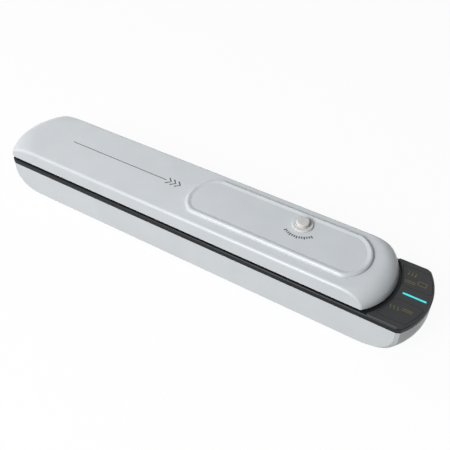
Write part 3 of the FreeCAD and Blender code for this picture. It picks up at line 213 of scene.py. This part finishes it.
def raised(tree, shader, pattern, strength, depth):
    """Raises a surface by a pattern, to a depth in metres."""
    relief = {"Height": pattern, "Strength": strength, "Distance": depth}
    bump = add_node(tree, "ShaderNodeBump", relief).outputs[0]
    tree.links.new(bump, shader.inputs["Normal"])


def moulded_plastic(name, colour, roughness, shine=0.5, grain=2600.0, grain_depth=0.00004):
    """Moulded plastic: slightly clouded colour, uneven gloss and a fine eroded grain."""
    material, tree, shader = new_material(name)
    shader.inputs["Specular IOR Level"].default_value = shine
    place = object_place(tree)
    cloud = noise(tree, place, scale=45.0, detail=3.0)
    tinted(tree, shader, cloud, colour, dark=0.97, light=1.02, ramp=(0.3, 0.7))
    skin = noise(tree, place, scale=grain, detail=2.0)
    glossed(tree, shader, skin, roughness, spread=0.05)
    raised(tree, shader, skin, strength=0.25, depth=grain_depth)
    return material


def finish_node(name, material):
    nodes[name].data.materials.clear()
    nodes[name].data.materials.append(material)


grey_abs = moulded_plastic("grey_abs", (0.61, 0.637, 0.657), roughness=0.31, shine=0.42)
finish_node("lower_housing", grey_abs)

# Rubber feet: four round rubber pads pressed into shallow recesses under the tub, moulded with
# grip rings on the face that stands on the table.


def turned(name, profile, steps):
    """A solid of revolution about Z, from (radius, height) points in millimetres."""
    shape = bmesh.new()
    rings = []
    for radius, height in profile:
        if radius == 0:
            rings.append([shape.verts.new((0.0, 0.0, height / 1000))])
            continue
        ring = []
        for step in range(steps):
            angle = 2 * math.pi * step / steps
            spot = (radius * math.cos(angle), radius * math.sin(angle), height)
            ring.append(shape.verts.new(Vector(spot) / 1000))
        rings.append(ring)
    for lower, upper in zip(rings, rings[1:]):
        for step in range(steps):
            after = (step + 1) % steps
            quad = (lower[step % len(lower)], lower[after % len(lower)],
                    upper[after % len(upper)], upper[step % len(upper)])
            shape.faces.new(dict.fromkeys(quad))
    bmesh.ops.recalc_face_normals(shape, faces=shape.faces)
    mesh = bpy.data.meshes.new(name)
    shape.to_mesh(mesh)
    shape.free()
    return mesh


def plain_mesh(item):
    """An object's mesh with its modifiers worked in."""
    graph = bpy.context.evaluated_depsgraph_get()
    return bpy.data.meshes.new_from_object(item.evaluated_get(graph))


def soft_edges(mesh, degrees):
    """Shades a mesh smooth, apart from the edges that turn by more than some degrees."""
    mesh.shade_smooth()
    mesh.set_sharp_from_angle(angle=math.radians(degrees))


def shape_tree(name, inputs):
    """A Geometry Nodes tree with named inputs and one output, and its input node's sockets."""
    tree = bpy.data.node_groups.new(name, "GeometryNodeTree")
    for label, kind in inputs.items():
        tree.interface.new_socket(label, in_out="INPUT", socket_type="NodeSocket" + kind)
    tree.interface.new_socket("Geometry", in_out="OUTPUT", socket_type="NodeSocketGeometry")
    return tree, add_node(tree, "NodeGroupInput").outputs


def close_tree(tree, shape, finish):
    """Ends a tree: makes its shape real, gives it its finish and hands it out."""
    solid = add_node(tree, "GeometryNodeRealizeInstances", {"Geometry": shape}).outputs[0]
    dressed = {"Geometry": solid, "Material": finish}
    finished = add_node(tree, "GeometryNodeSetMaterial", dressed).outputs[0]
    add_node(tree, "NodeGroupOutput", {"Geometry": finished})


def run_tree(name, tree, values, source):
    """A plain mesh object made by a tree from a source mesh and values for its named inputs."""
    piece = bpy.data.objects.new(name, source)
    modifier = piece.modifiers.new("shape", "NODES")
    modifier.node_group = tree
    for item in tree.interface.items_tree:
        if item.in_out == "INPUT" and item.name in values:
            modifier[item.identifier] = values[item.name]
    scene.collection.objects.link(piece)
    made = plain_mesh(piece)
    piece.modifiers.remove(modifier)
    piece.data = made
    made.name = name
    return piece


def copies_tree():
    """Sets a copy of one shape on every point of a mesh."""
    inputs = {"Spots": "Geometry", "Shape": "Object", "Finish": "Material"}
    tree, given = shape_tree("copies_on_points", inputs)
    shape = add_node(tree, "GeometryNodeObjectInfo", {"Object": given["Shape"]})
    spread = {"Points": given["Spots"], "Instance": shape.outputs["Geometry"]}
    spread_out = add_node(tree, "GeometryNodeInstanceOnPoints", spread).outputs[0]
    close_tree(tree, spread_out, given["Finish"])
    return tree


set_copies = copies_tree()


def copies(name, shape_mesh, spots, material):
    """One piece made of copies of a shape, standing at spots given in millimetres."""
    pattern = bpy.data.objects.new(name + "_pattern", shape_mesh)
    scene.collection.objects.link(pattern)
    points = bpy.data.meshes.new(name + "_spots")
    points.from_pydata([Vector(spot) / 1000 for spot in spots], [], [])
    piece = run_tree(name, set_copies, {"Shape": pattern, "Finish": material}, points)
    bpy.data.objects.remove(pattern)
    soft_edges(piece.data, degrees=35.0)
    return piece


def soft_rubber(name, colour, roughness, cell, depth):
    """Rubber or foam: fine cells that darken the colour and pit the surface."""
    material, tree, shader = new_material(name)
    place = object_place(tree)
    foam = {"Vector": place, "Scale": cell}
    cells = add_node(tree, "ShaderNodeTexVoronoi", foam).outputs["Distance"]
    tinted(tree, shader, cells, colour, dark=0.8, light=1.15)
    dust = noise(tree, place, scale=cell / 12, detail=3.0)
    glossed(tree, shader, dust, roughness, spread=0.08)
    raised(tree, shader, cells, strength=0.4, depth=depth)
    return material


foot_rubber = soft_rubber("foot_rubber", (0.035, 0.035, 0.036), 0.75, cell=1800.0, depth=0.00006)
foot_profile = [(0, 0.25), (1.3, 0.25), (1.5, 0.0), (2.6, 0.0), (2.8, 0.25), (3.9, 0.25),
                (4.1, 0.0), (5.6, 0.0), (5.9, 0.12), (6.0, 0.4), (6.0, 1.6), (0, 1.6)]
foot_x, foot_y = 112.0, 18.0
foot_spots = [(x, y, 0.0) for x in (-foot_x, foot_x) for y in (-foot_y, foot_y)]
feet = copies("feet", turned("foot", foot_profile, steps=48), foot_spots, foot_rubber)
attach(feet, "base")
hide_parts("rubber_feet")

# Mains inlet: a socket for a two-pin lead, moulded in black ABS and set in an opening of the back
# wall, with two brass pins pressed into its floor.


def plain_metal(name, colour, roughness, brushed):
    """Bare metal: lines in its gloss, drawn out where brushed is small, and a faint stain."""
    material, tree, shader = new_material(name)
    shader.inputs["Metallic"].default_value = 1.0
    place = object_place(tree)
    stain = noise(tree, place, scale=160.0, detail=3.0)
    tinted(tree, shader, stain, colour, dark=0.88, light=1.0)
    drawn = add_node(tree, "ShaderNodeMapping", {"Vector": place, "Scale": brushed}).outputs[0]
    lines = noise(tree, drawn, scale=900.0, detail=2.0)
    glossed(tree, shader, lines, roughness, spread=0.08)
    raised(tree, shader, lines, strength=0.15, depth=0.00002)
    return material


black_abs = moulded_plastic("black_abs", (0.022, 0.022, 0.023), roughness=0.5)
brass = plain_metal("brass", (0.76, 0.58, 0.27), 0.3, brushed=(1.0, 0.1, 1.0))
finish_node("power_inlet", black_abs)
finish_node("inlet_pins", brass)

# Power board: a green circuit board on posts in the left half of the tub, with a ferrite
# transformer, two capacitors in aluminium cans and a blue relay soldered to it.


def circuit_board(name):
    """Solder mask over copper: broad tracks show as lighter bands under the green."""
    material, tree, shader = new_material(name)
    place = object_place(tree)
    layout = {"Vector": place, "Scale": 90.0, "Mortar Size": 0.035,
              "Color1": (0.012, 0.13, 0.055, 1.0), "Color2": (0.016, 0.15, 0.065, 1.0),
              "Mortar": (0.05, 0.25, 0.09, 1.0)}
    tracks = add_node(tree, "ShaderNodeTexBrick", layout).outputs
    tree.links.new(tracks["Color"], shader.inputs["Base Color"])
    mask = noise(tree, place, scale=700.0, detail=2.0)
    glossed(tree, shader, mask, roughness=0.29, spread=0.07)
    raised(tree, shader, tracks["Fac"], strength=0.3, depth=0.00004)
    return material


green_board = circuit_board("green_board")
ferrite = moulded_plastic("ferrite", (0.045, 0.045, 0.047), 0.6, grain=1400.0, grain_depth=0.00006)
can_aluminium = plain_metal("can_aluminium", (0.72, 0.73, 0.74), 0.32, brushed=(1.0, 1.0, 0.1))
relay_blue = moulded_plastic("relay_blue", (0.03, 0.11, 0.32), roughness=0.3)
finish_node("power_board", green_board)
finish_node("transformer", ferrite)
finish_node("capacitors", can_aluminium)
finish_node("relay", relay_blue)

# Pump: a can motor in a saddle turns an eccentric inside the crank housing, under a rubber
# diaphragm and its valve cover; a silicone hose joins it to the trough.


def pale_silicone(name, colour, roughness):
    """Milky silicone: light goes a little way in, and the skin is slightly orange-peeled."""
    material, tree, shader = new_material(name)
    shader.inputs["Specular IOR Level"].default_value = 0.06
    shader.inputs["Subsurface Weight"].default_value = 0.5
    shader.inputs["Subsurface Radius"].default_value = (1.0, 0.9, 0.85)
    shader.inputs["Subsurface Scale"].default_value = 0.0015
    place = object_place(tree)
    cloud = noise(tree, place, scale=220.0, detail=3.0)
    tinted(tree, shader, cloud, colour, dark=0.95, light=1.0)
    peel = noise(tree, place, scale=1500.0, detail=1.0)
    glossed(tree, shader, peel, roughness, spread=0.06)
    raised(tree, shader, peel, strength=0.2, depth=0.00003)
    return material


cream_abs = moulded_plastic("cream_abs", (0.66, 0.66, 0.64), roughness=0.45)
steel = plain_metal("steel", (0.62, 0.63, 0.65), 0.3, brushed=(0.08, 1.0, 1.0))
motor_plating = plain_metal("motor_plating", (0.6, 0.6, 0.62), 0.28, brushed=(1.0, 0.1, 0.1))
milky_silicone = pale_silicone("milky_silicone", (0.635, 0.622, 0.615), roughness=0.7)
black_rubber = soft_rubber("black_rubber", (0.03, 0.03, 0.03), 0.7, cell=1500.0, depth=0.00005)
finish_node("pump_bracket", black_abs)
finish_node("pump_motor", motor_plating)
finish_node("motor_shaft", steel)
finish_node("pump_eccentric", brass)
finish_node("pump_housing", cream_abs)
finish_node("pump_diaphragm", black_rubber)
finish_node("pump_cover", cream_abs)
finish_node("vacuum_hose", milky_silicone)

# Control board: a small crescent board hung under the panel, with a tact switch for each button,
# three lamps for the light bar, and small steel screws in both boards.


def lit_plastic(name, colour, strength):
    """A diffuser lit from behind: brightest over the lamps, which stand in a row along it."""
    material, tree, shader = new_material(name)
    shader.inputs["Roughness"].default_value = 0.35
    row = {"Vector": object_place(tree), "Scale": 29.0, "Phase Offset": 1.2}
    lamps = add_node(tree, "ShaderNodeTexWave", row, wave_profile="SIN").outputs["Fac"]
    lit_colour = tinted(tree, shader, lamps, colour, dark=0.92, light=1.0)
    tree.links.new(lit_colour, shader.inputs["Emission Color"])
    shader.inputs["Emission Strength"].default_value = strength
    return material


cyan_light = lit_plastic("cyan_light", (0.055, 0.72, 0.725), strength=0.36)
finish_node("control_board", green_board)
finish_node("tact_switches", black_abs)
finish_node("indicator_leds", cyan_light)
finish_node("board_screws", steel)

# Deck: the dark upper plate, moulded with the vacuum trough, the seal groove, the heater channel
# and the fixed hinge knuckles; it closes the tub and shows as a dark band all round.
dark_abs = moulded_plastic("dark_abs", (0.0095, 0.0115, 0.0132), roughness=0.42, shine=0.17)
finish_node("deck", dark_abs)
finish_node("hinge_pins", steel)

# Heater: a laminate bar in the deck's channel carries a thin steel heating strip, held down by
# brass terminals and covered with woven coated tape.


def woven_tape(name, colour):
    """Coated glass cloth: a plain weave of fine threads under a slightly greasy coat."""
    material, tree, shader = new_material(name)
    threads = {"Vector": object_place(tree), "Scale": 330.0}
    warp = add_node(tree, "ShaderNodeTexWave", threads, bands_direction="X").outputs["Fac"]
    weft = add_node(tree, "ShaderNodeTexWave", threads, bands_direction="Y").outputs["Fac"]
    crossed = add_node(tree, "ShaderNodeMath", {0: warp, 1: weft}, operation="MULTIPLY")
    weave = crossed.outputs[0]
    tinted(tree, shader, weave, colour, dark=0.75, light=1.1)
    glossed(tree, shader, weave, roughness=0.375, spread=0.075)
    raised(tree, shader, weave, strength=0.3, depth=0.00003)
    return material


laminate = moulded_plastic("laminate", (0.30, 0.16, 0.075), roughness=0.45, grain=900.0)
brown_tape = woven_tape("brown_tape", (0.36, 0.21, 0.09))
finish_node("heater_bar", laminate)
finish_node("heating_strip", steel)
finish_node("ptfe_tape", brown_tape)
finish_node("heater_terminals", brass)

# Deck gasket: a closed loop of black foam strip with a rounded section, laid in the deck's groove
# round the trough; the film of a pouch is gripped between it and the lid's own loop.
strip_width, strip_round = 0.0036, 0.0011
loop_bend = 0.012
bend_points, round_points = 14, 5


def foam_loop_tree():
    """Sweeps a rounded strip round a rectangle with bent corners."""
    sizes = ("Length", "Width", "Bend", "Strip Width", "Strip Height", "Strip Round")
    inputs = {"Source": "Geometry", **{label: "Float" for label in sizes}}
    tree, given = shape_tree("foam_loop", {**inputs, "Place": "Vector", "Finish": "Material"})

    def rounded_box(width, height, radius, points):
        box = {"Width": given[width], "Height": given[height]}
        sides = add_node(tree, "GeometryNodeCurvePrimitiveQuadrilateral", box).outputs[0]
        corners = {"Curve": sides, "Count": points, "Radius": given[radius]}
        return add_node(tree, "GeometryNodeFilletCurve", corners, mode="POLY").outputs[0]

    loop = rounded_box("Length", "Width", "Bend", bend_points)
    upright = add_node(tree, "GeometryNodeSetCurveNormal", {"Curve": loop}, mode="Z_UP").outputs[0]
    section = rounded_box("Strip Width", "Strip Height", "Strip Round", round_points)
    sweep = {"Curve": upright, "Profile Curve": section}
    strip = add_node(tree, "GeometryNodeCurveToMesh", sweep).outputs[0]
    move = {"Geometry": strip, "Translation": given["Place"]}
    placed = add_node(tree, "GeometryNodeTransform", move).outputs[0]
    close_tree(tree, placed, given["Finish"])
    return tree


foam_loop = foam_loop_tree()
black_foam = soft_rubber("black_foam", (0.028, 0.028, 0.03), 0.85, cell=1100.0, depth=0.00012)


def foam_ring(name, node, body):
    """A foam loop that fills the box of the gasket it replaces."""
    low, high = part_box(node)
    size = high - low
    values = {"Length": size.x - strip_width, "Width": size.y - strip_width, "Bend": loop_bend,
              "Strip Width": strip_width, "Strip Height": size.z, "Strip Round": strip_round,
              "Place": tuple((low + high) / 2), "Finish": black_foam}
    ring = run_tree(name, foam_loop, values, bpy.data.meshes.new(name + "_source"))
    soft_edges(ring.data, degrees=60.0)
    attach(ring, body)
    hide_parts(node)


foam_ring("deck_foam", "deck_gasket", "base")

# Case screws: six pan-head steel screws that come up through the tub's bosses into the deck, their
# cross-recessed heads sunk in wells underneath.
head_radius, head_height = 2.7, 1.9
shank_radius, point_length = 1.4, 1.0
arm_half, arm_half_width, arm_depth = 0.58 * head_radius, 0.12 * head_radius, 0.55 * head_height
arm_taper, arm_overcut = 0.55, 0.3


def pan_screw(name, length):
    """A pan-head screw with its head down: a turned body with a cross driven into the head."""
    profile = [(0, 0.0), (head_radius * 0.6, 0.06), (head_radius * 0.86, 0.3), (head_radius, 0.9),
               (head_radius, head_height), (shank_radius, head_height),
               (shank_radius, length - point_length), (shank_radius * 0.4, length), (0, length)]
    body = bpy.data.objects.new(name, turned(name, profile, steps=28))
    scene.collection.objects.link(body)
    cross = bmesh.new()
    for half_x, half_y in ((arm_half, arm_half_width), (arm_half_width, arm_half)):
        for corner in bmesh.ops.create_cube(cross, size=2.0)["verts"]:
            outside = corner.co.z < 0
            taper = 1.0 if outside else arm_taper
            depth = -arm_overcut if outside else arm_depth
            x, y = corner.co.x * half_x * taper, corner.co.y * half_y * taper
            corner.co = Vector((x, y, depth)) / 1000
    cross_mesh = bpy.data.meshes.new(name + "_cross")
    cross.to_mesh(cross_mesh)
    cross.free()
    driver = bpy.data.objects.new(name + "_cross", cross_mesh)
    scene.collection.objects.link(driver)
    recess = body.modifiers.new("recess", "BOOLEAN")
    recess.operation = "DIFFERENCE"
    recess.use_self = True
    recess.object = driver
    mesh = plain_mesh(body)
    bpy.data.objects.remove(driver)
    bpy.data.objects.remove(body)
    return mesh


def screw_set(name, node, body, places):
    """Screws at places in millimetres, as high and as long as those of the node they replace."""
    heads, tips = (corner.z * 1000 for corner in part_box(node))
    spots = [(x, y, heads) for x, y in places]
    screws = copies(name + "_set", pan_screw(name, tips - heads), spots, steel)
    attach(screws, body)
    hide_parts(node)


case_screw_x, case_screw_y = 138.0, 23.5
case_places = [(x, y) for x in (-case_screw_x, 0.0, case_screw_x)
               for y in (-case_screw_y, case_screw_y)]
screw_set("case_screw", "case_screws", "base", case_places)

# Control panel and light bar: a thin plate of dark ABS, cut to a crescent, on the right-hand end
# of the deck, with a clear bar between the buttons that the board lights from below.
panel_abs = moulded_plastic("panel_abs", (0.022, 0.0225, 0.0238), roughness=0.5, shine=0.35)
finish_node("control_panel", panel_abs)
finish_node("light_bar", cyan_light)

# Buttons: two flush caps in the panel, moulded in the same dark ABS, each with a small sign
# printed in dull yellow; the rear one draws the air out and the front one only welds.
finish_node("vacuum_button", panel_abs)
finish_node("seal_button", panel_abs)
film_bed, film_rise = 0.02, 0.03
sign_line, seam_bar, seam_half_gap = 0.5, 0.55, 0.8
arrow_pitch, arrow_shaft, arrow_head, arrow_half = 2.4, 2.6, 1.4, 0.9
pouch_length, pouch_rise = 6.4, 3.4
wave_pitch, wave_swing, wave_turn, wave_step, wave_points = 2.6, 0.5, 0.9, 0.5, 8


def printed(name, outlines, level, body, material):
    """Flat printed marks: closed outlines in millimetres, a film thick, bedded on a surface."""
    film_low, film_high = (level - film_bed) / 1000, (level + film_rise) / 1000
    shape = bmesh.new()
    for corners in outlines:
        low = [shape.verts.new((x / 1000, y / 1000, film_low)) for x, y in corners]
        high = [shape.verts.new((x / 1000, y / 1000, film_high)) for x, y in corners]
        shape.faces.new(high)
        shape.faces.new(list(reversed(low)))
        for here in range(len(corners)):
            after = (here + 1) % len(corners)
            shape.faces.new((low[here], low[after], high[after], high[here]))
    bmesh.ops.recalc_face_normals(shape, faces=shape.faces)
    mesh = bpy.data.meshes.new(name)
    shape.to_mesh(mesh)
    shape.free()
    mesh.materials.append(material)
    piece = bpy.data.objects.new(name, mesh)
    scene.collection.objects.link(piece)
    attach(piece, body)


def strip_outline(spine, half):
    """The outline of a line of even width along a list of points."""
    left, right = [], []
    for index, (x, y) in enumerate(spine):
        before = spine[max(index - 1, 0)]
        after = spine[min(index + 1, len(spine) - 1)]
        along = Vector((after[0] - before[0], after[1] - before[1])).normalized()
        left.append((x - along.y * half, y + along.x * half))
        right.append((x + along.y * half, y - along.x * half))
    return left + right[::-1]


def bar_outline(x, y, length, width):
    return [(x - length / 2, y - width / 2), (x + length / 2, y - width / 2),
            (x + length / 2, y + width / 2), (x - length / 2, y + width / 2)]


def seam_sign(x, y, length):
    """Two long bars side by side: a welded seam."""
    return [bar_outline(x, y + side * seam_half_gap, length, seam_bar) for side in (-1, 1)]


def air_sign(x, y):
    """Three arrows side by side that point to the front: air drawn out."""
    arrows = []
    for shaft_x in (x - arrow_pitch, x, x + arrow_pitch):
        arrows.append(bar_outline(shaft_x, y, sign_line, arrow_shaft))
        head_y = y - arrow_shaft / 2
        arrows.append([(shaft_x - arrow_half, head_y), (shaft_x, head_y - arrow_head),
                       (shaft_x + arrow_half, head_y)])
    return arrows


def pouch_sign(x, y):
    """Four bars in a frame: a pouch laid flat."""
    rails = [bar_outline(x, y + side * pouch_rise / 2, pouch_length, sign_line) for side in (-1, 1)]
    post_reach, post_length = (pouch_length - sign_line) / 2, pouch_rise - sign_line
    posts = [bar_outline(x + side * post_reach, y, sign_line, post_length) for side in (-1, 1)]
    return rails + posts


def heat_sign(x, y):
    """Three short waves side by side: heat."""
    waves = []
    for wave_x in (x - wave_pitch, x, x + wave_pitch):
        spine = [(wave_x + wave_swing * math.sin(wave_turn * step), y + wave_step * step)
                 for step in range(wave_points)]
        waves.append(strip_outline(spine, sign_line / 2))
    return waves


sign_ink = moulded_plastic("sign_ink", (0.115, 0.10, 0.035), roughness=0.6)
button_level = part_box("vacuum_button")[1].z * 1000
rear_signs = seam_sign(x=161.2, y=11.8, length=7.6)
rear_signs += air_sign(x=160.0, y=20.4)
rear_signs += pouch_sign(x=169.1, y=13.9)
printed("vacuum_sign", rear_signs, button_level, "rear_button", sign_ink)
front_signs = seam_sign(x=168.5, y=-13.8, length=7.4)
front_signs += heat_sign(x=160.0, y=-16.8)
printed("seal_sign", front_signs, button_level, "front_button", sign_ink)

# Lid shell: the long grey cover, moulded like the tub, with a boat-shaped nose and a raised
# racetrack whose sunk panel holds the release valve; it swings on the two rear hinges. A line with
# chevrons is printed on its top, and a ring of ticks beside the valve.
finish_node("lid_shell", grey_abs)
lid_ink = moulded_plastic("lid_ink", (0.05, 0.052, 0.055), roughness=0.5)
lid_level, sunk_panel_level = 44.0, 45.6
line_start, line_end, line_y, line_half = -128.0, -34.0, 1.0, 0.35
chevron_start, chevron_pitch, chevron_reach, chevron_half = -33.0, 4.2, 3.4, 0.55
lid_marks = [strip_outline([(line_start, line_y), (line_end, line_y)], line_half)]
for step in range(3):
    x = chevron_start + chevron_pitch * step
    chevron = [(x, line_y + chevron_reach), (x + chevron_reach, line_y), (x, line_y - chevron_reach)]
    lid_marks.append(strip_outline(chevron, chevron_half))
printed("lid_mark", lid_marks, lid_level, "lid", lid_ink)

seat_low, seat_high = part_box("valve_seat")
valve_spot = (seat_low + seat_high).xy / 2 * 1000
tick_count, tick_start, tick_pitch = 13, 232.0, 7.7
tick_inner, tick_outer, long_tick_outer, tick_half = 12.2, 14.2, 14.8, 0.5
tick_marks = []
for step in range(tick_count):
    angle = math.radians(tick_start + tick_pitch * step)
    ray = Vector((math.cos(angle), math.sin(angle)))
    outer = long_tick_outer if step % 3 == 0 else tick_outer
    spine = [valve_spot + ray * tick_inner, valve_spot + ray * outer]
    tick_marks.append(strip_outline(spine, tick_half))
printed("valve_mark", tick_marks, sunk_panel_level, "lid", lid_ink)

# Release valve: a moulded plunger of milky silicone that slides in a ring seat of the same
# silicone, which is pushed into the lid's sunk panel; pressing it lets the air back in.
finish_node("valve_seat", milky_silicone)
finish_node("release_valve", milky_silicone)

# Lid liner: the pale inner plate, moulded in ABS and held up in the lid by four screws, with its
# own foam gasket and the red silicone strip that presses down on the heater.
liner_abs = moulded_plastic("liner_abs", (0.66, 0.66, 0.65), roughness=0.45)
red_silicone = soft_rubber("red_silicone", (0.42, 0.075, 0.055), 0.55, cell=2400.0, depth=0.00003)
liner_screw_y = 2.0
finish_node("lid_liner", liner_abs)
foam_ring("lid_foam", "lid_gasket", "lid")
finish_node("pressure_strip", red_silicone)
screw_set("liner_screw", "liner_screws", "lid", [(x, liner_screw_y) for x in (-120, -40, 40, 120)])
